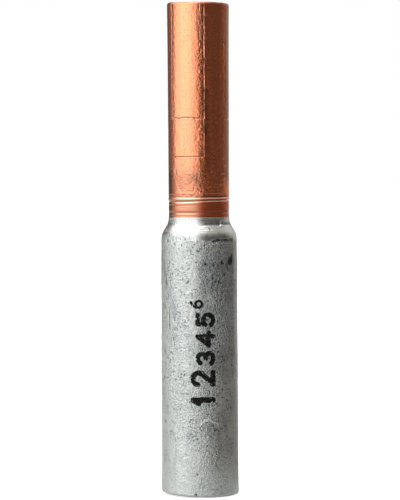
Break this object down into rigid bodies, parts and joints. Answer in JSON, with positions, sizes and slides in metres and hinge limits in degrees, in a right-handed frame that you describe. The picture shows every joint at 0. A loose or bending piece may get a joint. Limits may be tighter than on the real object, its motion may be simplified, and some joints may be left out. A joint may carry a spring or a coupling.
{
  "type": "bimetal crimp sleeve",
  "caption": "Straight round sleeve that joins an aluminium conductor to a copper one: a thick aluminium barrel and a thinner copper barrel welded end to end, each with a blind bore.",
  "frame": {"origin": "middle of the aluminium mouth's face, on which the sleeve stands", "axes": "+Z along the sleeve from the aluminium mouth to the copper mouth, -Y to the front, where the marking is"},
  "size_m": [0.0112, 0.0112, 0.0713],
  "materials": {
    "aluminium": "drawn tube, satin, with a bright turned shoulder",
    "copper": "drawn copper tube, satin, with a bright turned band"
  },
  "bodies": {
    "root": {"aluminium_barrel": "aluminium", "copper_barrel": "copper"}
  },
  "joints": []
}
